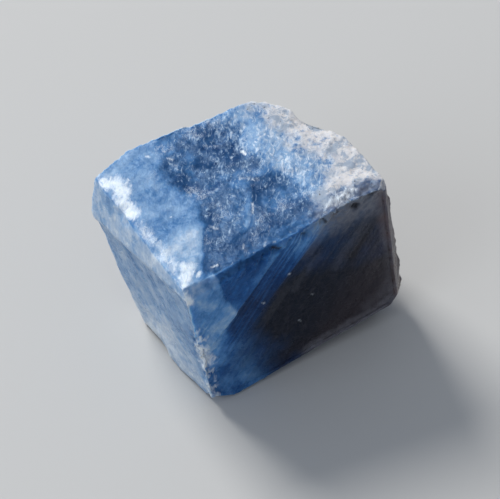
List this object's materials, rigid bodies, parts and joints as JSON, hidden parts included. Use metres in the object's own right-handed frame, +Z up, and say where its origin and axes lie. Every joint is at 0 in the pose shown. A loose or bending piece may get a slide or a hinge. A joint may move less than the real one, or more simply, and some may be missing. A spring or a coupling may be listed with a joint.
{
  "type": "rough sapphire",
  "caption": "Uncut natural blue sapphire: a cloudy, nearly square-cornered parting block with stepped faces and a pale rocky crust on one shoulder.",
  "frame": {"origin": "on the surface that the stone rests on, below the middle of its outline seen from above", "axes": "+Z up; +X along the long way of the stone as it lies, from its left corner to its raised right end; the apex corner faces -Y"},
  "size_m": [0.0166, 0.013, 0.0111],
  "materials": {
    "corundum": "cloudy, translucent, rough on top and glossy on the parted faces"
  },
  "bodies": {
    "root": {"sapphire_crystal": "corundum"}
  },
  "joints": []
}
